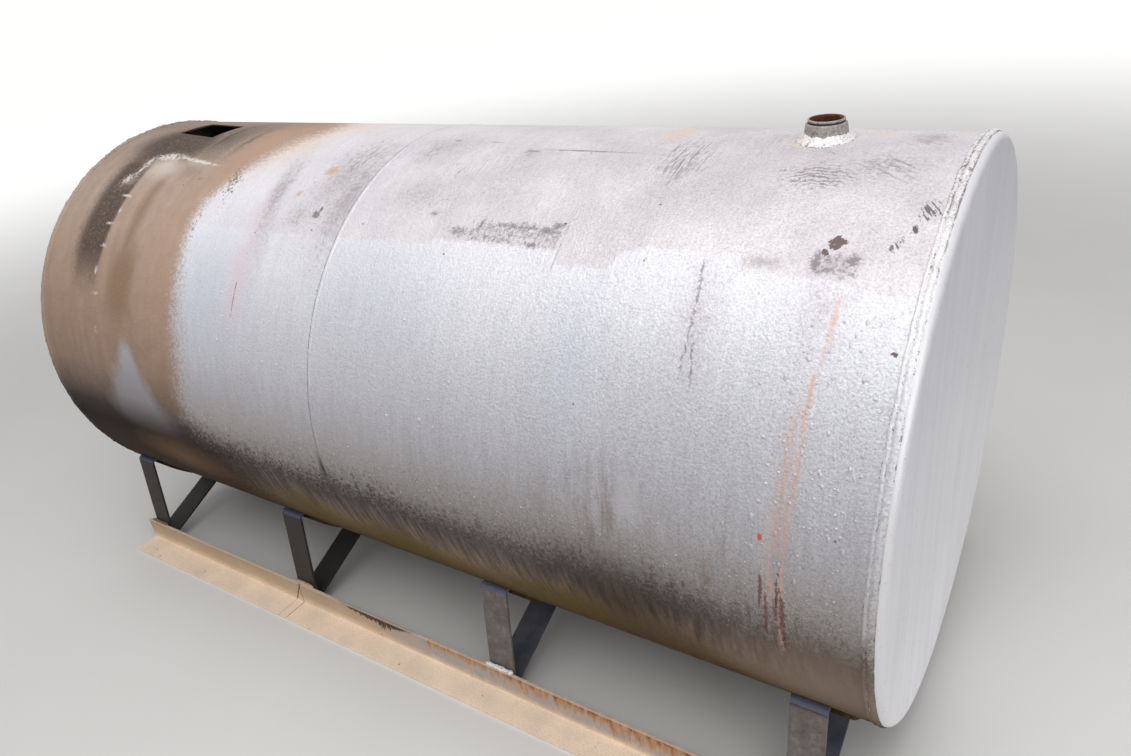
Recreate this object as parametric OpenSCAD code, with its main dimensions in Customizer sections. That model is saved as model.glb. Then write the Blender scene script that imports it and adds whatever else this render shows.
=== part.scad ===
// Horizontal cylindrical storage tank with flat ends, on a low welded steel stand.
// Millimetres, Z up. The origin is on the ground under the middle of the tank.
// X runs along the tank. The front is the side with negative Y.

/* [Tank shell] */
// Outside radius of the shell
tank_r = 600; // [520:1:680]
// Length of the shell between its two ends
tank_l = 2400; // [2200:1:3000]
// Thickness of the shell plate
shell_t = 5; // [4:0.5:8]
// Place of the middle seam, from the middle of the tank
seam_x = -45; // [-120:1:120]
// Free height under the shell
belly_gap = 74; // [60:1:110]

/* [Flat ends] */
// Thickness of the end plate
end_t = 6; // [5:0.5:8]
// Straight flange of an end, along the tank
end_flange = 11; // [9:0.5:20]
// Outside radius of the rounded edge of an end
end_knuckle = 17; // [12:0.5:25]

/* [Weld beads] */
// Width of the double bead round each end
rim_bead_w = 22; // [16:1:30]
// Height of the double bead over the shell
rim_bead_h = 4.5; // [3:0.5:7]
// Share of that height left in the groove between its two ridges
rim_bead_groove = 0.45; // [0.2:0.05:0.8]
// Width of the bead on the middle seam
seam_bead_w = 10; // [6:0.5:16]
// Height of the bead on the middle seam
seam_bead_h = 1.8; // [1:0.1:3]

/* [Filler neck] */
// Distance of the neck from the right end of the shell
neck_inset = 264; // [150:1:400]
// Inside diameter of the neck and of its hole in the shell
neck_bore = 61; // [45:0.5:64]
// Outside radius of the neck at the foot
neck_foot_r = 43; // [40:0.5:50]
// Outside radius of the neck at the shoulder
neck_shoulder_r = 38.5; // [37:0.5:40]
// Height of the shoulder over the top of the tank
neck_shoulder_h = 31; // [24:1:45]
// Outside radius of the mouth ring
ring_r = 34.5; // [34:0.25:36]
// Height of the mouth ring over the shoulder
ring_h = 11; // [8:0.5:18]
// Depth and height of the two catches inside the mouth ring
catch_reach = 4.5; // [3:0.5:6]
// Width of a catch
catch_w = 9; // [6:0.5:12]
// Direction of the two catches, from the length of the tank
catch_turn = 36; // [0:1:90]
// Reach of the weld on the shell, past the foot of the neck
neck_weld_w = 20; // [10:1:30]
// Height of the weld on the foot of the neck
neck_weld_h = 11; // [6:1:16]

/* [Cut opening] */
// Distance of the opening's middle from the left end of the shell
cut_inset = 276; // [180:1:400]
// Distance of the opening's middle in front of the top line
cut_front = 18; // [0:1:60]
// Length of the opening along the tank
cut_l = 198; // [120:1:240]
// Width of the opening across the tank
cut_w = 110; // [70:1:140]
// Turn of the roughly cut opening
cut_turn = 8; // [0:1:12]

/* [Rails] */
// Width and height of a rail, the two legs of its angle section
rail_w = 80; // [60:1:100]
// Thickness of a rail
rail_t = 8; // [6:0.5:10]
// How far the upright face of a rail lies inside the widest line of the tank
rail_set_in = 60; // [40:1:90]
// How far a rail ends short of the shell's end
rail_inset = 8; // [0:1:60]
// Place of the butt joint in a rail, from the middle of the tank
rail_joint_x = -433; // [-600:1:-200]
// Gap in that joint
rail_joint_gap = 3; // [1:0.5:6]

/* [Legs and struts] */
// Width of the flat bar
bar_w = 76; // [50:1:100]
// Thickness of the flat bar
bar_t = 8; // [6:0.5:10]
// Lean of the legs towards the tank
leg_lean = 6.3; // [3:0.1:9]
// Height of the feet of the legs over the ground
foot_gap = 5; // [2:0.5:10]
// How far below the shell, along the leg, its lip is bent over
lip_drop = 20; // [18:1:40]
// Rise of the lip towards the shell
lip_rise = 8; // [0:1:15]
// Outside radius of the bend under the lip
bend_r = 11; // [10:0.5:13]
// Height of a strut's foot over the ground, at the leg
strut_foot = 34; // [24:1:50]
// Slope of the struts, from level
strut_slope = 24; // [20:0.5:28]
// First pair of legs, from the left end of the shell
station_1_inset = 68; // [55:1:200]
// Second pair of legs, from the middle of the tank
station_2_x = -415; // [-500:1:-250]
// Third pair of legs, from the middle of the tank
station_3_x = 312; // [200:1:450]
// Fourth pair of legs, from the right end of the shell
station_4_inset = 119; // [60:1:200]

/* [Pads] */
// Thickness of the pads between the shell and the struts
pad_t = 8; // [5:0.5:10]
// Outer edge of a pad, as an angle below level round the shell
pad_edge = 39.5; // [38.5:0.1:42]
// How far a pad shows past the left edge of the bars
pad_past_left = 8; // [0:1:40]
// How far a pad shows past the right edge of the bars
pad_past_right = 38; // [0:1:60]
// How far a pad runs on under the tank past the end of the strut
pad_past_strut = 25; // [10:1:60]

/* [Hidden] */
$fn = 240;

silver = [0.70, 0.70, 0.71];
bead_grey = [0.80, 0.80, 0.80];
neck_grey = [0.42, 0.38, 0.35];
rust = [0.62, 0.45, 0.30];
bar_grey = [0.45, 0.43, 0.44];

half = tank_l / 2;
axis_z = tank_r + belly_gap;
neck_x = half - neck_inset;
cut_x = -half + cut_inset;
stations = [-half + station_1_inset, station_2_x, station_3_x, half - station_4_inset];

// Side view of the stand, with the tank's axis at 0, 0 and the first value pointing outwards
seat_r = tank_r + pad_t;
rail_face = tank_r - rail_set_in;
foot = [rail_face - rail_t, -axis_z + foot_gap];
up = [-sin(leg_lean), cos(leg_lean)];
inward = [-cos(leg_lean), -sin(leg_lean)];
// Distance along a line from point p in direction d to the circle of radius r
function reach(p, d, r) = -(p * d) - sqrt((p * d) * (p * d) - p * p + r * r);
bend_at = reach(foot, up, tank_r) - lip_drop;
corner = foot + bend_at * up;
lip_dir = [-cos(lip_rise), sin(lip_rise)];
bend_angle = acos(up * lip_dir);
tangent = bend_r * tan(bend_angle / 2);
bend_centre = corner - tangent * up + bend_r * inward;
strut_dir = [-cos(strut_slope), sin(strut_slope)];
strut_under = [-sin(strut_slope), -cos(strut_slope)];
strut_top = foot + bar_t * inward + (strut_foot - foot_gap) / cos(leg_lean) * up;
strut_low = strut_top + bar_t * strut_under;
strut_end = strut_low + reach(strut_low, strut_dir, seat_r) * strut_dir;
pad_end = -atan2(strut_end[1], strut_end[0]) + pad_past_strut / seat_r * 180 / PI;
// Length of the bodies that are cut back by others
far = 0.6 * tank_r;

// Cylinder along the tank's axis
module along(r, x0, x1) translate([x0, 0, axis_z]) rotate([0, 90, 0]) cylinder(r = r, h = x1 - x0);

// Profile (distance from the axis, place along it) turned round the tank's axis
module turned() translate([0, 0, axis_z]) rotate([0, 90, 0]) rotate_extrude() children();

// Side-view profile of the stand, extruded along the tank round the place x
module bar_profile(x, w) translate([x - w / 2, 0, axis_z]) rotate([90, 0, 90]) linear_extrude(w) children();

module tube(x0, x1) difference() {
  along(tank_r, x0, x1);
  along(tank_r - shell_t, x0 - 1, x1 + 1);
}

module shell_left() color(silver) difference() {
  tube(-half, seam_x);
  translate([cut_x, -cut_front, axis_z]) rotate([0, 0, -cut_turn])
    translate([-cut_l / 2, -cut_w / 2, 0]) cube([cut_l, cut_w, tank_r + shell_t]);
}

module shell_right() color(silver) difference() {
  tube(seam_x, half);
  translate([neck_x, 0, axis_z]) cylinder(d = neck_bore, h = tank_r + shell_t);
}

// Flat end plate with a flange and a rounded edge, in section; it starts at the shell's end
module end_section(r, k, depth) {
  square([r, end_flange]);
  square([r - k, depth]);
  translate([r - k, end_flange]) intersection() {
    circle(k);
    square(k + 1);
  }
}

module end_plate() translate([half, 0, 0]) turned() difference() {
  end_section(tank_r, end_knuckle, end_flange + end_knuckle);
  translate([0, -0.01])
    end_section(tank_r - end_t, end_knuckle - end_t, end_flange + end_knuckle - end_t);
}

module end_right() color(silver) end_plate();
module end_left() color(silver) mirror([1, 0, 0]) end_plate();

// Weld bead in section, w wide and h high on the radius r; the groove is 1 on a single bead
module bead(r, w, h, groove) polygon(concat([[r, w / 2], [r, -w / 2]],
  [for (i = [1:15]) let (t = i / 8 - 1, crown = 1 - t * t * t * t,
    dip = (1 - groove) * pow(cos(90 * min(1, abs(t) / 0.45)), 2)) [r + h * (crown - dip), t * w / 2]]));

module rim_weld() translate([half + end_flange / 2, 0, 0]) turned()
  bead(tank_r, rim_bead_w, rim_bead_h, rim_bead_groove);
module rim_weld_right() color(bead_grey) rim_weld();
module rim_weld_left() color(bead_grey) mirror([1, 0, 0]) rim_weld();
module seam_weld() color(bead_grey) translate([seam_x, 0, 0]) turned()
  bead(tank_r, seam_bead_w, seam_bead_h, 1);

// Pieces of the neck are turned round its own axis and stand on the curve of the shell
module on_shell() difference() {
  translate([neck_x, 0, axis_z + tank_r]) rotate_extrude() children();
  along(tank_r, neck_x - far, neck_x + far);
}

module filler_neck() color(neck_grey) on_shell() difference() {
  polygon([[0, -10], [neck_foot_r + 1, -10], [neck_foot_r, 0], [neck_shoulder_r, neck_shoulder_h - 2],
    [neck_shoulder_r - 2, neck_shoulder_h], [0, neck_shoulder_h]]);
  translate([0, -11]) square([neck_bore / 2, neck_shoulder_h + 20]);
}

module neck_weld() color(bead_grey) on_shell() difference() {
  polygon([[neck_foot_r - 4, -10], [neck_foot_r + neck_weld_w + 4, -10],
    [neck_foot_r + neck_weld_w, -1.5], [neck_foot_r + 0.75 * neck_weld_w, 0.25 * neck_weld_h],
    [neck_foot_r + 0.4 * neck_weld_w, 0.75 * neck_weld_h], [neck_foot_r + 0.1 * neck_weld_w, neck_weld_h],
    [neck_foot_r - 4, neck_weld_h]]);
  polygon([[0, -10], [neck_foot_r + 1, -10], [neck_foot_r, 0], [neck_shoulder_r, neck_shoulder_h - 2], [0, 99]]);
}

module filler_ring() color(neck_grey) translate([neck_x, 0, axis_z + tank_r + neck_shoulder_h]) {
  rotate_extrude() polygon([[neck_bore / 2, 0], [ring_r - 1.5, 0], [ring_r - 1.5, 3], [ring_r, 4.5],
    [ring_r, ring_h - 1], [ring_r - 1, ring_h], [neck_bore / 2, ring_h]]);
  for (a = [0, 180]) rotate([0, 0, catch_turn + a]) intersection() {
    translate([neck_bore / 2 - catch_reach, -catch_w / 2, ring_h - 1 - catch_reach])
      cube([catch_reach + 1, catch_w, catch_reach]);
    cylinder(r = neck_bore / 2 + 0.5, h = ring_h);
  }
}

// Angle section in side view: upright leg inside, flat leg on the ground and outside
module angle_section() {
  translate([rail_face - rail_t, -axis_z]) square([rail_t, rail_w]);
  translate([rail_face - rail_t, -axis_z]) square([rail_w, rail_t]);
}
module rail(x0, x1) bar_profile((x0 + x1) / 2, x1 - x0) angle_section();
module rail_left() rail(-half + rail_inset, rail_joint_x - rail_joint_gap / 2);
module rail_right() rail(rail_joint_x + rail_joint_gap / 2, half - rail_inset);

// Flat bar in side view, from point p in direction d, with its thickness on the side n
module flat(p, d, n, length) polygon([p, p + length * d, p + length * d + bar_t * n, p + bar_t * n]);

module leg_section() difference() {
  union() {
    flat(foot, up, inward, bend_at - tangent);
    flat(corner + tangent * lip_dir, lip_dir, [-lip_dir[1], lip_dir[0]], bar_w);
    translate(bend_centre) intersection() {
      difference() {
        circle(bend_r);
        circle(bend_r - bar_t);
      }
      polygon(4 * bend_r * [[0, 0], -inward, (corner - bend_centre) / bend_r, [lip_dir[1], -lip_dir[0]]]);
    }
  }
  circle(tank_r);
}
module leg(s) bar_profile(stations[s - 1], bar_w) leg_section();

module strut_section() difference() {
  flat(strut_top - 2 * bar_t * strut_dir, strut_dir, strut_under, far);
  translate(foot + bar_t * inward) rotate(leg_lean) translate([0, -bar_w]) square(far);
  circle(seat_r);
}
module strut(s) bar_profile(stations[s - 1], bar_w) strut_section();

module pad(s) difference() {
  bar_profile(stations[s - 1] + (pad_past_right - pad_past_left) / 2, bar_w + pad_past_left + pad_past_right)
    intersection() {
      circle(seat_r);
      polygon(2 * tank_r * [[0, 0], [cos(pad_end), -sin(pad_end)], [cos(pad_edge), -sin(pad_edge)]]);
    }
  along(tank_r, stations[s - 1] - far, stations[s - 1] + far);
}

module front() mirror([0, 1, 0]) children();

module front_rail_left() color(rust) front() rail_left();
module front_rail_right() color(rust) front() rail_right();
module rear_rail_left() color(rust) rail_left();
module rear_rail_right() color(rust) rail_right();
module front_leg_1() color(bar_grey) front() leg(1);
module front_leg_2() color(bar_grey) front() leg(2);
module front_leg_3() color(bar_grey) front() leg(3);
module front_leg_4() color(bar_grey) front() leg(4);
module rear_leg_1() color(bar_grey) leg(1);
module rear_leg_2() color(bar_grey) leg(2);
module rear_leg_3() color(bar_grey) leg(3);
module rear_leg_4() color(bar_grey) leg(4);
module front_strut_1() color(bar_grey) front() strut(1);
module front_strut_2() color(bar_grey) front() strut(2);
module front_strut_3() color(bar_grey) front() strut(3);
module front_strut_4() color(bar_grey) front() strut(4);
module rear_strut_1() color(bar_grey) strut(1);
module rear_strut_2() color(bar_grey) strut(2);
module rear_strut_3() color(bar_grey) strut(3);
module rear_strut_4() color(bar_grey) strut(4);
module front_pad_1() color(silver) front() pad(1);
module front_pad_2() color(silver) front() pad(2);
module front_pad_3() color(silver) front() pad(3);
module front_pad_4() color(silver) front() pad(4);
module rear_pad_1() color(silver) pad(1);
module rear_pad_2() color(silver) pad(2);
module rear_pad_3() color(silver) pad(3);
module rear_pad_4() color(silver) pad(4);

shell_left();
shell_right();
end_left();
end_right();
rim_weld_left();
rim_weld_right();
seam_weld();
filler_neck();
filler_ring();
neck_weld();
front_rail_left();
front_rail_right();
rear_rail_left();
rear_rail_right();
front_leg_1();
front_leg_2();
front_leg_3();
front_leg_4();
rear_leg_1();
rear_leg_2();
rear_leg_3();
rear_leg_4();
front_strut_1();
front_strut_2();
front_strut_3();
front_strut_4();
rear_strut_1();
rear_strut_2();
rear_strut_3();
rear_strut_4();
front_pad_1();
front_pad_2();
front_pad_3();
front_pad_4();
rear_pad_1();
rear_pad_2();
rear_pad_3();
rear_pad_4();
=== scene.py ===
"""Finish, weld beads, stage and camera for the horizontal storage tank on low skids."""
from functools import partial
from math import atan2, cos, pi, radians, sin, sqrt
from random import Random

import bmesh
import bpy
from bpy.props import FloatProperty, FloatVectorProperty, IntProperty, PointerProperty
from bpy.types import Operator, Panel, PropertyGroup
from mathutils import Matrix, Vector, noise


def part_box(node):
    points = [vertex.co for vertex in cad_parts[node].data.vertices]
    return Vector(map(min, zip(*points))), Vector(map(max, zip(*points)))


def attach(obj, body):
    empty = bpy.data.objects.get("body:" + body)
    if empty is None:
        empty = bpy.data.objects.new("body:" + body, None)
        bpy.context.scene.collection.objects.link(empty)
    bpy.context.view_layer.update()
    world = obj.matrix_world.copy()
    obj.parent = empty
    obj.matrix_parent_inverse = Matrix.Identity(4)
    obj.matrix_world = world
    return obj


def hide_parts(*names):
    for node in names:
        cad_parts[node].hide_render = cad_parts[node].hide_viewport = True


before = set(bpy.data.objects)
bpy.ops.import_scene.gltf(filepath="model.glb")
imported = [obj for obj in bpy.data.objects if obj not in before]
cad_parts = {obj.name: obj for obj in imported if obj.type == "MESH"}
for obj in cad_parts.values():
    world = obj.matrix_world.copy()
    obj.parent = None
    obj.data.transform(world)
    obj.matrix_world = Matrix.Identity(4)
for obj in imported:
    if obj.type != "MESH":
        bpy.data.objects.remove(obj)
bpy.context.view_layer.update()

bl_info = {
    "name": "Storage Tank Finish",
    "version": (1, 0, 0),
    "blender": (4, 5, 0),
    "location": "3D View > Sidebar > Tank",
    "description": "Paint, rust, weld beads, stage and camera for a horizontal storage tank",
    "category": "Object",
}

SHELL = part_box("shell_right")
TANK_R = (SHELL[1].y - SHELL[0].y) / 2
AXIS_Z = SHELL[1].z - TANK_R
SEAM_X = SHELL[0].x
BELLY_V = 1.3                          # how far down the shell, as an arc from its top line, the curves go
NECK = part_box("filler_ring")
NECK_X = (NECK[0].x + NECK[1].x) / 2
NECK_BORE_R = 0.0305
# Mouth ring from its groove over the rounded lip into the bore: radius and height in mm
MOUTH = ((33.2, 0), (33.0, 2.6), (33.8, 3.2), (34.6, 3.9), (34.8, 5.0), (34.6, 6.4), (33.9, 7.3), (32.8, 7.6),
         (31.7, 7.4), (30.8, 6.6), (30.5, 5.2), (30.5, 3.0), (30.5, 0))
CATCH_SIZE = (0.0060, 0.009, 0.0040)
CATCH_R = 0.0285
RAIL_TOP = 0.080
LEG_OUTSIDE, LEG_INSIDE = 0.5315, 0.5205   # y of the leg's two faces at the rail
SIDES = {"front": -1, "rear": 1}
WHOLE_SHELL = (-1.3, 1.3)              # from and to x, a little past both ends
SHELL_PAINT = "aluminium paint sprayed on rolled steel"
WHITE = (1, 1, 1, 1)
# The camera at the photo's angle: place, then yaw, pitch and roll in radians, and lens in mm
CAMERA_PLACE = (1.43137, -1.61369, 1.69614)
CAMERA_YAW, CAMERA_PITCH, CAMERA_ROLL = -0.6321, 0.49291, -0.13898
CAMERA_LENS = 26.867


def srgb(code):
    """A colour written as #rrggbb, turned to linear RGBA."""
    steps = [int(code[i:i + 2], 16) / 255 for i in (1, 3, 5)]
    return tuple(c / 12.92 if c <= 0.04045 else ((c + 0.055) / 1.055) ** 2.4 for c in steps) + (1.0,)


def colour(name, description, code):
    return FloatVectorProperty(name=name, description=description, default=srgb(code), size=4,
                               min=0, max=1, subtype="COLOR")


def size(name, description, millimetres):
    return FloatProperty(name=name, description=description, default=millimetres / 1000, min=0,
                         precision=4, subtype="DISTANCE", unit="LENGTH")


class TankSizes(PropertyGroup):
    """Sizes of the welds and the worn edges."""
    rim_width: size("Rim weld width", "Width of the double bead round each end", 22)
    rim_height: size("Rim weld height", "Height of its two ridges over the shell", 4.5)
    rim_lump: size("Rim weld lump", "Length of one lump of the rim weld", 9.5)
    seam_width: size("Seam weld width", "Width of the bead on the middle seam", 10)
    seam_height: size("Seam weld height", "Height of that bead over the shell", 1.8)
    seam_lump: size("Seam weld lump", "Length of one ripple of the seam weld", 7)
    neck_weld_height: size("Neck weld height", "Height of the weld at the foot of the neck", 18)
    foot_weld: size("Foot weld", "Half thickness of the welds on the stand", 6)
    worn_edge: size("Worn edge", "Rounding of the edges of bars and rails", 1.2)
    dent: size("Dents", "Depth of the small dents in bars and rails", 0.6)
    blister: size("Blister", "Radius of a paint blister on the shell", 3.2)
    blisters: IntProperty(name="Blisters", description="Number of paint blisters", default=900, min=0)


class TankColours(PropertyGroup):
    """Colours of the paint, the dirt and the rust; some of them also carry painted shade."""
    bright: colour("Bright aluminium paint", "Paint of the middle band", "#d6d6dc")
    dull: colour("Chalked aluminium paint", "Faded paint along the top", "#dad6d9")
    primer: colour("Tan primer", "Dusty primer at the left end", "#b39c8b")
    soot: colour("Soot", "Black dirt round the cut opening", "#4b403a")
    # Dirt and painted shade in one colour: the belt under the belly is dark partly because the shell turns away from
    # the light
    grime_and_shade: colour("Grime", "Dirt band under the belly", "#625855")
    rust: colour("Orange rust", "Rust streaks and edges", "#c08f5f")
    # Rust inside the shell, drawn dark partly as painted shade of the closed inside
    rust_and_shade_inside: colour("Dark rust", "Old rust inside the shell", "#4c362d")
    plate: colour("End plate paint", "Smooth paint of the flat ends", "#cfcfd6")
    bar: colour("Bar paint", "Dirty paint of the legs", "#665e5a")
    # The struts' dark blue-grey is partly painted shade and a painted sky reflection
    strut: colour("Strut primer", "Blue-grey primer of the struts", "#3b4152")
    rail: colour("Rail dust", "Dry dust on the rails", "#fbe6d0")


class TankStage(PropertyGroup):
    """Floor and lamps."""
    floor: FloatProperty(name="Floor width", description="Width of the pale floor", default=400, min=10,
                         subtype="DISTANCE", unit="LENGTH")
    lamp: FloatProperty(name="Lamp power", description="Power of the large soft lamp overhead",
                        default=108, min=0, unit="POWER")
    sky: FloatProperty(name="Sky", description="Strength of the even light from all round", default=0.42,
                       min=0, max=2, subtype="FACTOR")
    floor_colour: colour("Floor", "Colour of the floor", "#e4e3e1")


# ---------------------------------------------------------------- shader helpers

def add(tree, kind, *inputs, ramp=(), curve=(), sockets=None, **settings):
    """Add a shader node: its settings, then values, links or #rrggbb colours for its enabled inputs in order.
    A kind in capitals is a Math node with that operation, and a Mix node mixes colours."""
    if kind == "MULTIPLY" and 0 in inputs or kind == "MAXIMUM" and inputs == (0, 0):
        return 0.0                     # a mark that is nowhere needs no node
    if kind.isupper():
        kind, settings["operation"] = "Math", kind
    if kind == "Mix":
        settings["data_type"] = "RGBA"
    node = tree.nodes.new("ShaderNode" + kind)
    for key, value in settings.items():
        setattr(node, key, value)
    for stop, (place, paint) in enumerate(ramp):
        stops = node.color_ramp.elements
        element = stops[stop] if stop < 2 else stops.new(place)
        element.position, element.color = place, srgb(paint) if isinstance(paint, str) else paint
    if curve:
        points = node.mapping.curves[0].points
        points[0].location, points[1].location = curve[0], curve[-1]
        for place in curve[1:-1]:
            points.new(*place)
        for point in points:
            point.handle_type = "VECTOR"
        node.mapping.update()
    enabled = [s for s in node.inputs if s.enabled]
    for socket, value in [*zip(enabled, inputs), *((node.inputs[k], v) for k, v in (sockets or {}).items())]:
        if isinstance(value, bpy.types.Node):
            value = next(s for s in value.outputs if s.enabled)
        if isinstance(value, bpy.types.NodeSocket):
            tree.links.new(value, socket)
        elif value is not None:
            socket.default_value = srgb(value) if isinstance(value, str) else value
    return node


def per(millimetres):
    """Scale of a pattern whose features are this many millimetres wide."""
    return 1000 / millimetres


def new_material(name):
    """An empty material and its node adder."""
    material = bpy.data.materials.new(name)
    material.use_nodes = True
    material.node_tree.nodes.clear()
    return material, partial(add, material.node_tree)


def finish_material(node, base, roughness, metallic, height, depth, shine=0.5):
    """Join colour, gloss and relief (depth in metres) to the surface; dust and soot shine less than 0.5."""
    bump = node("Bump", 1.0, depth, sockets={"Height": height})
    shader = node("BsdfPrincipled", sockets={"Base Color": base, "Roughness": roughness,
                                             "Metallic": metallic, "Specular IOR Level": shine, "Normal": bump})
    node("OutputMaterial", shader)


def places(node):
    """A point's place in the tank's frame, and its x, y and z."""
    here = node("TexCoord").outputs["Object"]
    return (here, *node("SeparateXYZ", here).outputs)


def round_shell(node, y, z):
    """Arc v from the tank's top line to its front, |v|, and the distance from its axis."""
    up = node("SUBTRACT", z, AXIS_Z)
    v = node("MULTIPLY", node("ARCTAN2", node("MULTIPLY", y, -1), up), TANK_R)
    radius = node("VectorMath", node("CombineXYZ", y, up, 0.0), operation="LENGTH").outputs["Value"]
    return v, node("ABSOLUTE", v), radius


def streaks(node, here, wide, long, detail, rough):
    """Noise that is drawn out round the tank or down the rail: so wide in x and so long across it, in mm."""
    return node("TexNoise", node("Mapping", here, None, None, (per(wide), per(long), per(long))), 1.0, detail, rough)


def lay(node, base, *stains):
    """Lay stains over a colour, one after another: each a mask and a paint."""
    for mark, paint in stains:
        base = node("Mix", mark, base, paint)
    return base


def patches(node, where, table):
    """Strongest of some soft oval marks: x, v, half length, half width, strength and, where turned, degrees."""
    mark = 0.0
    for x, v, along, across, strength, *turn in table:
        if turn:
            laid = node("Mapping", where, (x, v, 0), (0, 0, radians(*turn)), (along, across, 1), vector_type="TEXTURE")
            oval = node("TexGradient", laid, gradient_type="SPHERICAL").outputs["Fac"]
            one = node("MULTIPLY", oval, strength)
        else:
            # The same without a turn, in nodes that render faster
            off = node("VectorMath", where, (1 / along, 1 / across, 1), (-x / along, -v / across, 0),
                       operation="MULTIPLY_ADD")
            off = node("VectorMath", off, operation="LENGTH").outputs["Value"]
            one = node("MULTIPLY_ADD", off, -strength, strength)
        mark = node("MAXIMUM", one, mark)
    return mark


def curve_along(node, place, start, end, low, high, points, clamp=True):
    """A value from low to high that follows these points (place, value) from start to end."""
    shares = [((a - start) / (end - start), (b - low) / (high - low)) for a, b in points]
    line = node("FloatCurve", 1.0, node("MapRange", place, start, end, clamp=clamp), curve=shares)
    return node("MapRange", line, 0, 1, low, high)


def run(node, x, v, points, reach, width):
    """A stain that runs down the shell: points (x, v) on its middle line, its half width in metres."""
    middle = curve_along(node, v, 0, BELLY_V, *reach, [(pv, px) for px, pv in points], clamp=False)
    across = node("MapRange", node("ABSOLUTE", node("SUBTRACT", x, middle)), 0, width, 1, 0)
    start, end = points[0][1], points[-1][1]
    inside = node("MULTIPLY", node("MapRange", v, start - 0.03, start + 0.03),
                  node("MapRange", v, end - 0.03, end + 0.03, 1, 0))
    return node("MULTIPLY", across, inside)


# ---------------------------------------------------------------- materials

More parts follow.
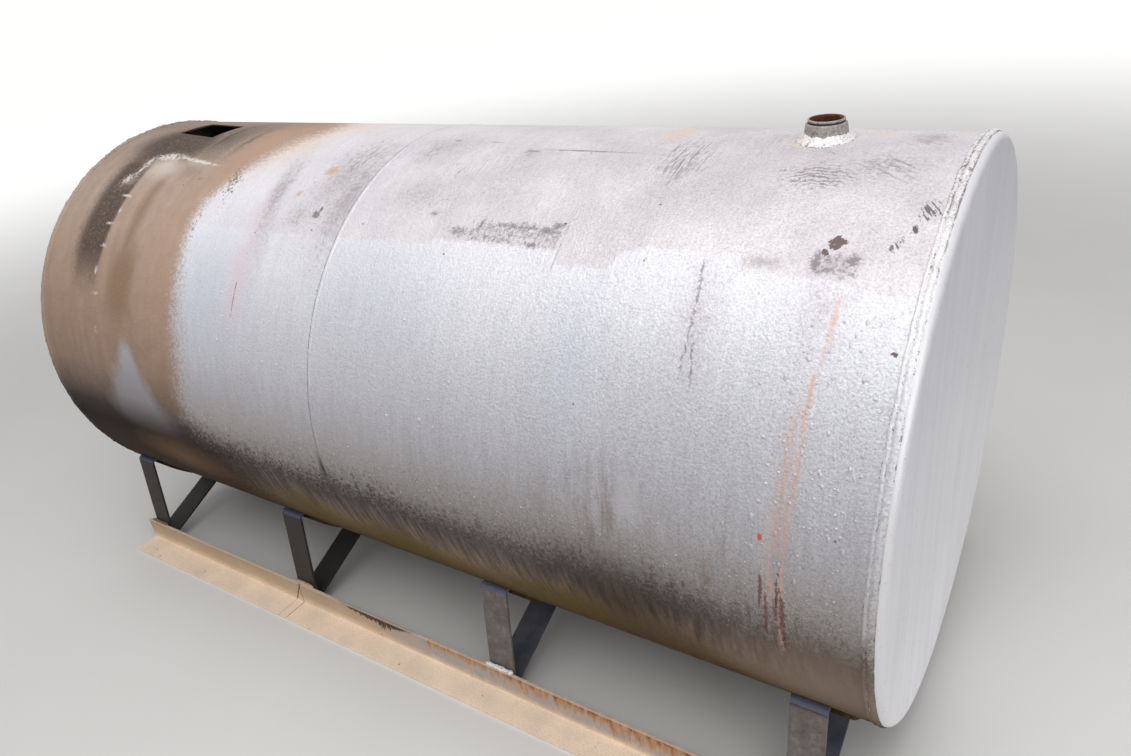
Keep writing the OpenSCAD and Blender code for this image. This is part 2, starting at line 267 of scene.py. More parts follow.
def aluminium_paint_on_shell(colours, name, *stretches, weld=False):
    """Aluminium paint, sprayed and brushed on rolled steel plate, then chalked by the sun: a silver band
    under a duller lilac top, pebbled by grit, with brush strokes, scuffs, dirt, primer and rust, and painted
    shade that darkens it towards the belly. Over the arc welds the same paint is whiter on the lumps, partly a
    painted highlight, and darker in their pits, painted shade. It renders faster with only the marks that can
    reach the stretches (from x, to x) that it covers."""
    material, node = new_material(name)
    here, x, y, z = places(node)
    v, away, radius = round_shell(node, y, z)

    # Noises by the size of what they stand for; grit under 3.6 mm would not show and is drawn at 3.6 mm
    wander = node("TexNoise", here, per(45), 4.0, 0.65)
    fine = node("TexNoise", here, per(12), 3.0, 0.65)
    grit = node("TexNoise", here, per(3.6), 2.0, 0.6)
    speck = node("TexNoise", here, per(9), 3.0, 0.85)
    cloud = node("TexNoise", here, per(420), 3.0, 0.5)
    # Streaks run round the tank: close together in x, long round the shell
    streak = streaks(node, here, 24, 260, 4.0, 0.6)
    fingers = streaks(node, here, 13, 110, 4.0, 0.65)
    weave = streaks(node, here, 5.5, 40, 2.0, 0.6)
    flat = node("CombineXYZ", x, v, 0.0)
    shift = node("VectorMath", wander.outputs["Color"], (0.5, 0.5, 0.5), operation="SUBTRACT")
    shift = node("VectorMath", shift, (0.04, 0.04, 0.0), operation="MULTIPLY")
    where = node("VectorMath", flat, shift, operation="ADD")

    def seen(start, end):
        """Whether anything between these two x can lie on the stretches."""
        return any(start < last and end > first for first, last in stretches)

    def ovals(place, table):
        """The soft oval marks of a table that reach the stretches; 0.03 is more than their place wanders."""
        return patches(node, place, [row for row in table if seen(row[0] - max(row[2:4]) - 0.03,
                                                                  row[0] + max(row[2:4]) + 0.03)])

    # Marks whose place wanders a little, and marks drawn just where they are
    blots, dabs = partial(ovals, where), partial(ovals, flat)

    def trail(place, points, reach, width):
        """A stain that runs down the shell, where it can be seen."""
        return run(node, place, v, points, reach, width) if seen(*reach) else 0.0

    def ragged(mark, low, high, rough=fine, share=0.5):
        """A mask whose edge breaks up into grains; nothing is added where the mark is zero."""
        if mark == 0:
            return mark
        grain = node("MULTIPLY", node("SUBTRACT", rough, 0.5), share)
        grain = node("MULTIPLY", grain, node("MapRange", mark, 0.0, 0.12))
        return node("MapRange", node("ADD", mark, grain), low, high, interpolation_type="SMOOTHSTEP")

    def strokes(turn, length, width, low, high):
        """Brush or scratch strokes that run at this angle to the length of the tank."""
        laid = node("Mapping", flat, None, (0, 0, radians(turn)), (length, width, 1), vector_type="TEXTURE")
        return node("MapRange", node("TexNoise", laid, 1.0, 3.0, 0.6), low, high)

    def block(x0, x1, v0, v1, soft):
        """A patch with straight edges."""
        if not seen(x0 - 0.03, x1 + 0.03):
            return 0.0
        sides = []
        for place, low, high in ((x, x0, x1), (v, v0, v1)):
            off = node("ABSOLUTE", node("SUBTRACT", place, (low + high) / 2))
            half = (high - low) / 2
            sides.append(node("MapRange", off, half - soft, half + soft, 1, 0))
        return node("MULTIPLY", *sides)

    # Silver paint from the band downwards: darker towards the belly, partly dirt and partly painted shade, then a
    # belt of dirt and painted shade whose upper edge breaks up in fingers and grit, with brown and yellow-green dirt
    # under it
    low = node("MULTIPLY", node("SUBTRACT", fingers, 0.5), node("MapRange", x, 0.1, 0.6, 0.13, 0.2))
    low = node("ADD", node("ADD", away, low), node("MapRange", speck, 0.3, 0.7, -0.03, 0.03))
    low = node("ADD", low, curve_along(node, x, -1.2, 1.2, -0.05, 0.05, [
        (-1.2, 0.01), (-0.6, -0.004), (-0.408, -0.016), (-0.192, -0.014), (0.12, -0.004), (0.408, -0.014),
        (0.6, 0.004), (0.768, 0.008), (0.96, -0.01), (1.056, -0.016), (1.2, -0.016)]))
    silver = node("ValToRGB", node("DIVIDE", low, BELLY_V), ramp=[(place / BELLY_V, paint) for place, paint in (
        (0.36, "#dddce2"), (0.48, colours.bright), (0.62, "#c8c8cf"), (0.75, "#c0bfc5"), (0.85, "#b2afb3"),
        (0.94, "#9f9998"), (0.99, "#8a8380"), (1.06, colours.grime_and_shade), (1.1, "#685d57"), (1.15, "#7b6a58"),
        (1.21, "#6a573e"), (1.28, "#4d3d25"))])
    blue = node("MULTIPLY", blots([(-0.43, 0.61, 0.2, 0.24, 0.9), (0.13, 0.52, 0.24, 0.18, 0.45),
                                   (0.63, 0.62, 0.08, 0.22, 0.7)]),
                node("MapRange", streak, 0.3, 0.6, 0.4, 0.9))
    silver = node("Mix", blue, silver, "#c2c6d4")
    blotch = node("TexNoise", here, per(130), 4.0, 0.6)
    top = node("Mix", node("MapRange", blotch, 0.36, 0.64), "#cbc5ca", colours.dull)
    edge = curve_along(node, x, -0.3, 1.2, 0.34, 0.44, [
        (-0.3, 0.425), (0.2, 0.41), (0.245, 0.396), (0.54, 0.396), (0.546, 0.425), (0.66, 0.421), (0.676, 0.385),
        (0.73, 0.366), (0.903, 0.366), (0.909, 0.396), (1.098, 0.398), (1.104, 0.412), (1.2, 0.412)])
    under = node("ADD", node("SUBTRACT", away, edge), node("MapRange", fine, 0.3, 0.7, -0.005, 0.005))
    # The edge of the fresh band fades out to the left
    is_top = node("MULTIPLY", node("MapRange", under, -0.003, 0.004, 1, 0),
                  node("MapRange", x, -0.5, 0.25, 0.35, 1.0))
    worn = node("Mix", is_top, silver, top)

    # Unevenness of the paint itself: dark grit, cloudy and streaky tone; brighter at the left end as painted light,
    # where the lamp gives less
    tone = node("MULTIPLY", node("MapRange", grit, 0.32, 0.58, -0.2, 0.06),
                node("MapRange", x, -0.4, 0.6, 0.35, 1.0))
    belly_streaks = node("MULTIPLY", node("MapRange", fingers, 0.3, 0.7, -0.38, 0.38),
                         node("MapRange", away, 0.86, 1.06))
    for change in (node("MapRange", cloud, 0.3, 0.7, -0.04, 0.04), node("MapRange", streak, 0.3, 0.7, -0.03, 0.03),
                   node("MapRange", weave, 0.3, 0.7, -0.035, 0.035), belly_streaks,
                   node("MapRange", x, -0.6, 0.1, 0.08, 0.0), node("MapRange", x, 0.5, 0.8, 0.0, -0.05)):
        tone = node("ADD", tone, change)
    worn = node("HueSaturation", 0.5, 1.0, node("ADD", tone, 1.0), 1.0, worn)

    def over(mark, paint, strength=1.0):
        """Lay a stain over what is there, at once, because Cycles can't keep many masks waiting."""
        nonlocal worn
        if strength != 1.0:
            mark = node("MULTIPLY", mark, strength)
        if mark != 0:
            worn = node("Mix", mark, worn, paint)

    # Darker in the belt, dirt and painted shade where the shell turns under, and dirt below it
    belt = node("MULTIPLY", node("MapRange", low, 0.93, 1.02), node("MapRange", low, 1.05, 1.14, 1, 0))
    over(node("MULTIPLY", ragged(belt, 0.5, 1.4, speck, 1.9), node("MapRange", x, 0.1, 0.4, 0.95, 0.6)),
         "#403937")
    over(blots([(0.73, 1.12, 0.26, 0.2, 1.3), (-0.48, 1.14, 0.2, 0.2, 1.0)]), "#382c20", 0.6)
    over(blots([(1.14, 1.16, 0.26, 0.2, 1.4)]), "#87766a", 0.7)
    over(ragged(blots([(-0.22, 1.18, 0.16, 0.12, 1.0), (0.09, 1.21, 0.2, 0.12, 1.1),
                       (0.55, 1.2, 0.22, 0.1, 1.0)]), 0.0, 0.8), "#544b1c", 0.6)
    haze = node("MULTIPLY", blots([(0.72, 0.9, 0.12, 0.2, 1.3), (0.55, 0.96, 0.2, 0.12, 0.7),
                                   (0.95, 0.95, 0.12, 0.16, 1.0), (0.36, 0.93, 0.2, 0.1, 0.6)]),
                node("MapRange", fingers, 0.32, 0.7))
    over(ragged(haze, 0.0, 1.2, speck, 0.8), "#7f736c", 0.6)
    over(ragged(blots([(0.775, 0.84, 0.05, 0.09, 0.9)]), 0.15, 0.9, fine, 1.0), "#b9b7bb")
    # Pink and tan veils of old primer under thin silver, a thin scratch in the pink one
    over(ragged(blots([(-0.33, 0.53, 0.075, 0.22, 1.0), (-0.34, 0.36, 0.08, 0.2, 0.7)]), 0.05, 1.1),
         "#dcc3cc", 0.65)
    over(node("MULTIPLY", block(-0.333, -0.33, 0.555, 0.645, 0.0015), node("MapRange", fine, 0.38, 0.55)),
         "#857a7e")
    over(ragged(blots([(-0.5, 0.05, 0.26, 0.3, 1.1), (-0.42, -0.04, 0.3, 0.18, 0.8),
                       (0.62, -0.03, 0.06, 0.1, 0.9), (1.03, -0.05, 0.06, 0.06, 0.6),
                       (0.9, 0.035, 0.07, 0.03, 0.8)]), 0.05, 1.1, fine, 0.6), "#dfc2ad")

    # Tan primer and dust at the left end; its edge leans, soft at the top and speckled low down
    primer_edge = curve_along(node, away, 0, BELLY_V, -0.65, -0.35, [
        (0.0, -0.42), (0.1, -0.46), (0.2, -0.5), (0.27, -0.53), (0.35, -0.575), (0.42, -0.585), (0.52, -0.575),
        (0.62, -0.56), (0.75, -0.545), (0.83, -0.55), (0.9, -0.57), (0.96, -0.56), (1.03, -0.5),
        (1.1, -0.45), (1.3, -0.42)], clamp=False)
    soft = node("ADD", node("ADD", node("MapRange", away, 0.05, 0.35, 0.12, 0.045),
                            node("MapRange", away, 0.5, 0.65, 0, 0.03)),
                node("MapRange", away, 0.93, 1.1, 0, 0.2))
    inside = node("MapRange", node("SUBTRACT", primer_edge, x), node("MULTIPLY", soft, -1), soft)
    # It ends before x = -0.1
    primer_mark = ragged(inside, 0.15, 0.85, speck, 1.25) if seen(-1.3, -0.1) else 0.0
    # Down the side the primer darkens to near black: dirt and painted shade under the belly
    primer = node("ValToRGB", node("DIVIDE", away, BELLY_V), ramp=[(place / BELLY_V, paint) for place, paint in (
        (0.0, "#978579"), (0.1, "#a39286"), (0.2, "#a79385"), (0.3, "#b39e90"), (0.46, colours.primer),
        (0.65, "#a98f7d"), (0.85, "#9c8473"), (0.93, "#7b6a60"), (1.0, "#433a36"), (1.07, "#2d2522"),
        (1.14, "#382a23"), (BELLY_V, "#382b1f"))])
    primer_tone = node("MULTIPLY", node("MapRange", streak, 0.3, 0.7, 0.93, 1.06),
                       node("MapRange", wander, 0.3, 0.7, 0.92, 1.07))
    over(primer_mark, node("HueSaturation", 0.5, 1.0, primer_tone, 1.0, primer))
    over(blots([(-0.73, 1.14, 0.24, 0.11, 1.1)]), "#725945", 0.8)
    over(node("MULTIPLY", blots([(-0.55, 0.12, 0.14, 0.34, 1.2), (-0.5, -0.02, 0.14, 0.2, 1.2),
                                 (-0.65, 0.52, 0.1, 0.35, 0.6)]), primer_mark), "#b59580")
    over(ragged(node("MULTIPLY", blots([
        (-0.52, 0.29, 0.07, 0.2, 1.2, -14), (-0.66, 0.28, 0.1, 0.06, 0.9), (-0.565, 0.44, 0.05, 0.16, 1.0),
        (-0.35, 0.18, 0.04, 0.06, 0.9), (-0.555, 0.5, 0.06, 0.3, 0.7), (-0.28, 0.08, 0.2, 0.12, 0.6),
        (-1.0, 0.3, 0.5, 0.5, 0.4)]), 0.5), 0.5, 0.66, speck, 1.6), "#7b6353")
    # Brown runs, soot round the cut opening and in one broad band under it
    brown = node("MAXIMUM", trail(x, [(-0.825, 0.28), (-0.825, 0.45), (-0.83, 0.72)], (-1.1, -0.7), 0.05),
                 blots([(-0.815, 0.61, 0.09, 0.18, 1.7), (-0.88, 0.52, 0.06, 0.16, 0.5),
                        (-0.7, 0.3, 0.12, 0.14, 0.35), (-0.63, 0.9, 0.1, 0.12, 0.8)]))
    over(ragged(brown, 0.05, 1.25, speck, 1.1), "#8a6f56", 0.75)
    band = node("MULTIPLY", node("MULTIPLY", node("MapRange", x, -1.1, -1.03), node("MapRange", x, -0.92, -0.94)),
                node("MULTIPLY", node("MapRange", v, 0.17, 0.25), node("MapRange", v, 0.52, 0.7, 1, 0)))
    soot = blots([
        (-0.93, 0.13, 0.24, 0.16, 1.7), (-1.01, 0.21, 0.12, 0.12, 0.9), (-0.75, 0.09, 0.18, 0.24, 0.72),
        (-0.765, 0.08, 0.03, 0.2, 1.0), (-0.645, 0.1, 0.025, 0.16, 0.7), (-1.14, 0.93, 0.06, 0.1, 0.35)])
    soot_mark = ragged(node("MAXIMUM", soot, band if seen(-1.1, -0.92) else 0.0), 0.08, 0.95, speck, 1.2)
    over(node("MULTIPLY", soot_mark, node("MapRange", speck, 0.35, 0.68, 0.96, 0.76)), colours.soot)
    # Silver paint that shows through low on the left end
    wedge = node("ADD", blots([(-0.797, 1.02, 0.132, 0.22, 1.0), (-0.78, 0.89, 0.055, 0.14, 0.8, -6),
                               (-0.8, 1.0, 0.18, 0.1, 0.7)]),
                 node("MULTIPLY", node("SUBTRACT", speck, 0.5), 0.3))
    wedge = node("MULTIPLY", node("MapRange", wedge, 0.0, 0.32), node("MapRange", v, 0.94, 1.06, 1, 0))
    over(wedge, node("Mix", node("MapRange", v, 0.8, 1.0), "#b0acb0", "#8b878b"))
    # White scuffs
    over(ragged(blots([(-0.87, 0.245, 0.13, 0.08, 1.1, 4), (-0.75, 0.225, 0.15, 0.03, 0.6, 8),
                       (-0.97, 0.31, 0.07, 0.05, 0.5, -20)]), 0.0, 1.2, speck, 0.8), "#d2c3b9")
    chalk = node("MULTIPLY", dabs([
        (-0.745, 0.215, 0.15, 0.01, 1.6, 8), (-0.89, 0.203, 0.1, 0.022, 1.4, -4),
        (-0.962, 0.245, 0.022, 0.06, 1.2, 8), (-0.985, 0.3, 0.045, 0.03, 0.9, -20),
        (-0.935, 0.362, 0.042, 0.007, 1.25, 3), (-0.925, 0.41, 0.01, 0.018, 0.8),
        (-0.94, 0.452, 0.034, 0.007, 1.2, -4), (-0.93, 0.52, 0.032, 0.008, 1.05, 5),
        (-0.938, 0.59, 0.014, 0.022, 0.95, 20), (-0.93, 0.655, 0.034, 0.009, 0.8, -8),
        (-0.925, 0.76, 0.014, 0.022, 0.6)]), node("MapRange", fine, 0.38, 0.6, 0.25, 1.0))
    over(ragged(chalk, 0.1, 0.8, speck, 1.3), "#e4dcd5", 0.85)

    # Dirt trodden and wiped into the grain of the top: thickest left of the seam, thin everywhere else
    haze = node("MULTIPLY", blots([(-0.08, 0.31, 0.11, 0.28, 0.75), (-0.14, 0.24, 0.18, 0.3, 0.58)]),
                node("MapRange", x, SEAM_X - 0.004, SEAM_X - 0.006))
    haze = node("MAXIMUM", haze, blots([
        (-0.32, 0.33, 0.06, 0.3, 0.6, -10), (0.14, 0.29, 0.24, 0.14, 0.5), (0.32, 0.24, 0.26, 0.24, 0.36),
        (0.33, 0.125, 0.06, 0.04, 0.62), (0.69, 0.25, 0.12, 0.16, 0.36), (0.945, 0.375, 0.07, 0.03, 0.75),
        (1.06, 0.45, 0.08, 0.14, 0.5), (0.86, 0.5, 0.07, 0.18, 0.48), (1.05, 0.13, 0.24, 0.16, 0.42),
        (1.13, -0.02, 0.06, 0.07, 0.65), (-0.2, 0.37, 0.12, 0.1, 0.55), (0.45, 0.1, 1.4, 0.36, 0.27),
        (0.08, 0.1, 0.24, 0.16, 0.48), (1.06, 0.37, 0.07, 0.05, 0.7)]))
    over(haze, "#b3a8ad", 0.62)
    over(ragged(haze, 0.22, 0.92, speck, 1.4), "#857b81", 0.62)
    lines = node("MAXIMUM", strokes(88, 0.08, 0.0048, 0.45, 0.62), strokes(100, 0.05, 0.004, 0.47, 0.62))
    marks = node("MULTIPLY", lines, blots([
        (0.7, 0.12, 0.09, 0.15, 1.1), (0.665, 0.07, 0.022, 0.06, 1.3), (-0.13, 0.16, 0.16, 0.18, 0.75),
        (0.05, 0.14, 0.07, 0.1, 0.75), (-0.32, 0.28, 0.05, 0.16, 0.7), (0.22, 0.18, 0.28, 0.14, 0.45),
        (0.86, 0.02, 0.14, 0.12, 0.6)]))
    slanted = node("MULTIPLY", strokes(35, 0.09, 0.007, 0.4, 0.66), blots([
        (1.09, 0.13, 0.09, 0.07, 1.1, 20), (0.98, 0.08, 0.08, 0.05, 0.7), (1.12, 0.0, 0.08, 0.08, 0.8)]))
    # Loops wiped by hand
    loops = node("TexWave", node("Mapping", where, (0.985, 0.215, 0), None, (1.5, 1.0, 1.0), vector_type="TEXTURE"),
                 30.0, 5.0, 3.0, 3.0, wave_type="RINGS", rings_direction="Z").outputs["Fac"]
    loops = node("MULTIPLY", node("MapRange", loops, 0.35, 0.95, 0.2, 1.0), blots([
        (0.975, 0.165, 0.1, 0.07, 1.2), (1.07, 0.12, 0.1, 0.08, 0.7, 20)]))
    wiped = dabs([(0.46, 0.102, 0.2, 0.006, 1.0, 1), (0.33, 0.11, 0.035, 0.01, 1.0),
                  (0.08, 0.064, 0.018, 0.006, 1.1), (0.2, 0.069, 0.035, 0.005, 0.9),
                  (0.2, 0.335, 0.02, 0.012, 0.9)])
    for more in (slanted, loops, wiped):
        marks = node("MAXIMUM", marks, more)
    over(ragged(marks, 0.14, 0.9, fine, 1.0), "#7b7177", 0.8)
    # Smudges with straight edges, where something was stuck on
    smudge = node("MULTIPLY", block(0.31, 0.535, 0.346, 0.394, 0.004), 0.52)
    smudge = node("MAXIMUM", smudge, node("MULTIPLY", block(1.018, 1.1, 0.342, 0.392, 0.006), 0.48))
    smudge = node("MAXIMUM", smudge, dabs([
        (0.285, 0.374, 0.05, 0.022, 0.9), (0.43, 0.35, 0.15, 0.017, 0.95), (0.336, 0.352, 0.012, 0.028, 1.1, 8),
        (0.52, 0.342, 0.026, 0.018, 1.1, -10), (0.478, 0.388, 0.024, 0.014, 1.1), (0.5, 0.355, 0.05, 0.02, 1.1),
        (1.03, 0.365, 0.016, 0.035, 1.2), (1.088, 0.357, 0.022, 0.022, 1.2),
        (-0.15, 0.366, 0.02, 0.014, 1.9, 20), (-0.143, 0.35, 0.008, 0.014, 1.5)]))
    over(ragged(smudge, 0.25, 0.95, speck, 2.2), "#746c6f", 0.85)
    # Orange spots, pinholes, a dark line beside the seam that is a painted shadow of its bead, and two darker marks low
    # on the seam
    over(ragged(blots([(-0.2, 0.225, 0.028, 0.03, 1.0), (-0.25, 0.312, 0.018, 0.012, 0.9)]),
                0.1, 0.8, fine, 0.8), "#c3a593")
    holes = node("TexVoronoi", here, per(80)).outputs["Distance"]
    over(node("MULTIPLY", node("MapRange", holes, 0.02, 0.035, 1, 0), node("MapRange", low, 0.88, 0.96, 1, 0)),
         "#6f6360")
    over(node("MULTIPLY", block(SEAM_X - 0.0062, SEAM_X - 0.0044, -0.6, 1.3, 0.0012),
              node("MapRange", fine, 0.36, 0.56, 0.35, 1.0)), "#5f595c")
    over(dabs([(SEAM_X - 0.008, 0.985, 0.014, 0.06, 1.5), (SEAM_X - 0.004, 1.09, 0.016, 0.12, 0.9)]),
         "#3c3736", 0.7)

    # Rust run: a narrow orange line with a wide pale stain beside it, dark red drips at its foot
    rust_points = [(1.085, 0.42), (1.083, 0.5), (1.074, 0.56), (1.073, 0.62), (1.075, 0.68), (1.07, 0.74),
                   (1.066, 0.82), (1.062, 0.9), (1.062, 1.08)]
    drawn = strokes(90, 0.07, 0.006, 0.4, 0.62)
    narrow = node("MULTIPLY", trail(x, rust_points, (0.9, 1.2), 0.01),
                  node("MapRange", drawn, 0, 1, 0.4, 1.0))
    wide = node("MULTIPLY", trail(node("ADD", x, 0.016), rust_points, (0.9, 1.2), 0.034),
                node("MapRange", drawn, 0, 1, 0.25, 0.8))
    wide = node("MULTIPLY", wide, node("MULTIPLY", node("MapRange", v, 0.52, 0.66),
                                       node("MapRange", v, 0.92, 1.02, 1, 0)))
    over(ragged(node("MAXIMUM", narrow, wide), 0.05, 0.95, fine, 0.9), "#c8a496", 0.82)
    drips = node("MULTIPLY", dabs([(1.065, 1.0, 0.009, 0.11, 1.6, -2), (1.055, 0.95, 0.007, 0.08, 1.5, 2),
                                   (1.036, 0.99, 0.007, 0.08, 1.5), (1.027, 0.94, 0.006, 0.07, 1.5)]),
                 strokes(90, 0.05, 0.007, 0.25, 0.5))
    over(ragged(drips, 0.3, 0.95, speck, 2.4), "#6a4a45", 0.85)
    over(ragged(dabs([(1.024, 0.833, 0.006, 0.01, 1.5)]), 0.2, 0.9), "#c4604e")

    # Thin cracks, and paint broken off down to brown iron
    crack_x = node("ADD", x, node("MapRange", fine, 0, 1, -0.01, 0.01))
    crack = node("MAXIMUM", *(trail(crack_x, points, (0.7, 1.0), width) for points, width in (
        ([(0.838, 0.365), (0.848, 0.43), (0.852, 0.5), (0.852, 0.6)], 0.0052),
        ([(0.862, 0.52), (0.876, 0.62)], 0.005))))
    over(ragged(crack, 0.36, 1.0, speck, 2.2), "#625a5d", 0.62)
    over(node("MULTIPLY", block(0.5415, 0.5435, 0.335, 0.44, 0.0012), node("MapRange", fine, 0.36, 0.52, 0.1, 0.9)),
         "#968b8f")
    hatch = node("MULTIPLY", blots([(1.178, 0.243, 0.026, 0.04, 1.3), (1.16, 0.285, 0.012, 0.014, 1.5),
                                    (1.143, 0.318, 0.012, 0.026, 1.2, 10)]), strokes(58, 0.03, 0.0046, 0.43, 0.6))
    over(ragged(hatch, 0.24, 0.56, speck, 1.5), "#565053", 0.9)
    chip = ragged(blots([
        (1.056, 0.326, 0.018, 0.02, 1.2, -30), (1.04, 0.345, 0.008, 0.01, 1.2), (1.18, 0.505, 0.007, 0.006, 1.3),
        (1.16, 0.285, 0.007, 0.009, 1.0), (0.535, 0.334, 0.01, 0.006, 1.0)]), 0.4, 0.6, fine, 1.3)
    over(chip, "#62514f")

    # The inside of the shell and the edges of its cut-outs are bare and rusty, the rust drawn dark partly as painted
    # shade
    inner = node("MapRange", radius, TANK_R - 0.0022, TANK_R - 0.0012, 1, 0)
    scale = node("TexNoise", here, per(30), 6.0, 0.7)
    over(inner, node("ValToRGB", scale, ramp=[(0.35, "#1d1512"), (0.55, colours.rust_and_shade_inside), (0.72, "#7b4c33")]))

    dirt = node("MAXIMUM", node("MAXIMUM", primer_mark, node("MapRange", low, 0.92, 1.03)),
                node("MAXIMUM", soot_mark, inner))
    relief_share = 1.0
    if weld:
        # White on the lumps, partly paint and partly a painted highlight; darker in the pits between them and at the
        # bead's foot as painted shade; both fade down the side, where the weld is smoother
        hollow = node("MapRange", radius, TANK_R + 0.0002, TANK_R + 0.0016, 0.14, 0)
        lumps = node("TexNoise", here, per(6), 3.0, 0.75)
        white = node("MULTIPLY", node("MapRange", lumps, 0.35, 0.55), node("MapRange", away, 0.35, 0.6, 1.0, 0.45))
        over(node("MULTIPLY", node("MapRange", dirt, 0.2, 0.8, 0.8, 0.1), white), "#eeecec")
        pits = node("ADD", node("ADD", lumps, hollow), node("MapRange", wander, 0.35, 0.65, -0.06, 0.06))
        pits = node("SUBTRACT", pits, node("MapRange", away, 0.2, 0.5, -0.045, 0.075))
        over(node("MapRange", pits, 0.6, 0.68), "#5f5653", 0.8)
        relief_share = node("MapRange", away, 0.3, 0.55, 1.6, 0.9)
    metallic = node("MapRange", dirt, 0, 1, 0.3, 0.0)
    roughness = node("ADD", node("MapRange", dirt, 0, 1, 0.5, 0.9), node("MapRange", fine, 0.3, 0.7, -0.06, 0.06))
    # Pebbled paint, grains of 4 to 6 mm, coarser round the belt, over long shallow waves in the plate
    near_belt = node("MULTIPLY", node("MapRange", low, 0.86, 0.98), node("MapRange", low, 1.04, 1.14, 1, 0))
    pebbles = node("TexNoise", here, per(6), 2.0, 0.6)
    relief = node("MULTIPLY", pebbles, node("MapRange", near_belt, 0, 1, 0.58, 1.3))
    for pattern, share in ((grit, 0.22), (fine, 0.15), (weave, 0.22)):
        relief = node("ADD", relief, node("MULTIPLY", pattern, share))
    relief = node("ADD", node("MULTIPLY", relief, relief_share), node("MULTIPLY", cloud, 1.6))
    relief = node("SUBTRACT", relief, node("MULTIPLY", chip, 0.3))
    finish_material(node, worn, roughness, metallic, relief, 0.0022, node("MapRange", dirt, 0, 1, 0.5, 0.12))
    return material


def aluminium_paint_on_plate(colours):
    """Aluminium paint rolled on flat plate: smooth and even, with faint streaks where rain ran down; lighter towards
    the bottom and on the rounded edge as painted light.
    """
    material, node = new_material("aluminium paint rolled on flat plate")
    here, x, y, z = places(node)
    _, _, radius = round_shell(node, y, z)
    rain = node("TexNoise", node("Mapping", here, None, None, (1, per(38), per(900))), 1.0, 3.0, 0.55)
    cloud = node("TexNoise", here, per(420), 3.0, 0.5)
    grain = node("TexNoise", here, per(5), 2.0, 0.6)
    tone = node("ADD", node("MapRange", rain, 0.3, 0.7, -0.05, 0.04), node("MapRange", cloud, 0.3, 0.7, -0.04, 0.04))
    tone = node("ADD", tone, node("MapRange", grain, 0.3, 0.7, -0.03, 0.03))
    # Lighter towards the bottom: a painted reflection of light from the ground
    base = node("Mix", node("MapRange", z, 1.15, 0.10), colours.plate, "#ebeaee")
    base = node("HueSaturation", 0.5, 1.0, node("ADD", tone, 1.0), 1.0, base)
    # A painted highlight on the rounded edge, tan dust on the left end, a few grey specks
    specks = node("MapRange", node("TexNoise", here, per(16), 4.0, 0.6), 0.64, 0.72)
    base = lay(node, base, (node("MapRange", radius, TANK_R - 0.016, TANK_R - 0.004, 0, 0.6), "#dcdadc"),
               (node("MapRange", x, -1.0, -1.1, 0, 0.65), "#a8978a"), (node("MULTIPLY", specks, 0.4), "#8b8688"))
    relief = node("ADD", node("MULTIPLY", cloud, 6.0), grain)
    finish_material(node, base, node("MapRange", cloud, 0.3, 0.7, 0.42, 0.52), 0.30, relief, 0.0006)
    return material


def paint_on_stand_weld():
    """Arc weld on the stand: beads left rusty at the left, splashed with dust and white paint further right."""
    material, node = new_material("arc weld splashed with paint")
    here, x, _, _ = places(node)
    lumps = node("TexNoise", here, per(8), 3.0, 0.6)
    base = node("ValToRGB", node("MapRange", x, -1.2, 1.2), ramp=[
        (0.0, "#6f5a4a"), (0.25, "#8a735f"), (0.34, "#c9b199"), (0.55, "#d8cbbf"), (0.62, "#ececec")])
    base = lay(node, base, (node("MapRange", lumps, 0.60, 0.70, 0, 0.8), "#63503f"))
    finish_material(node, base, 0.6, 0.1, lumps, 0.0012)
    return material


def rusty_cast_iron():
    """Cast iron left bare: a grey-brown skin with darker pits, and red rust inside the bore; painted shade in the
    groove under the mouth ring and deeper down the bore.
    """
    material, node = new_material("rusty cast iron")
    here, _, _, z = places(node)
    mouth = NECK[0].z
    scale = node("TexNoise", here, per(6), 6.0, 0.8)
    grain = node("TexNoise", here, per(2.2), 3.0, 0.7)
    base = node("ValToRGB", scale, ramp=[(0.32, "#544c48"), (0.42, "#88807b"), (0.55, "#a8a19d"), (0.70, "#bbb4af")])
    from_neck = node("VectorMath", node("Mapping", here, (-NECK_X, 0, 0), None, (1, 1, 0)), operation="LENGTH")
    from_neck = from_neck.outputs["Value"]
    # Painted shade: a dark groove under the lip of the mouth ring, and the bore, darker the deeper it goes
    groove = node("MULTIPLY", node("MapRange", from_neck, 0.0345, 0.0335, 0, 0.9),
                  node("MapRange", z, mouth + 0.0033, mouth + 0.0025))
    groove = node("MULTIPLY", groove, node("MapRange", z, mouth - 0.001, mouth))
    bore = node("MapRange", from_neck, NECK_BORE_R + 0.0006, NECK_BORE_R + 0.0016, 1, 0)
    deep = node("ADD", scale, node("MapRange", z, mouth - 0.020, mouth + 0.004, -0.25, 0.05))
    red = node("ValToRGB", deep, ramp=[(0.35, "#2c1510"), (0.6, "#6b3424"), (0.75, "#8a5138")])
    base = lay(node, base, (groove, "#1f1815"), (bore, red))
    relief = node("ADD", scale, node("MULTIPLY", grain, 0.3))
    finish_material(node, base, node("MapRange", grain, 0.3, 0.7, 0.62, 0.82), 0.25, relief, 0.0012)
    return material


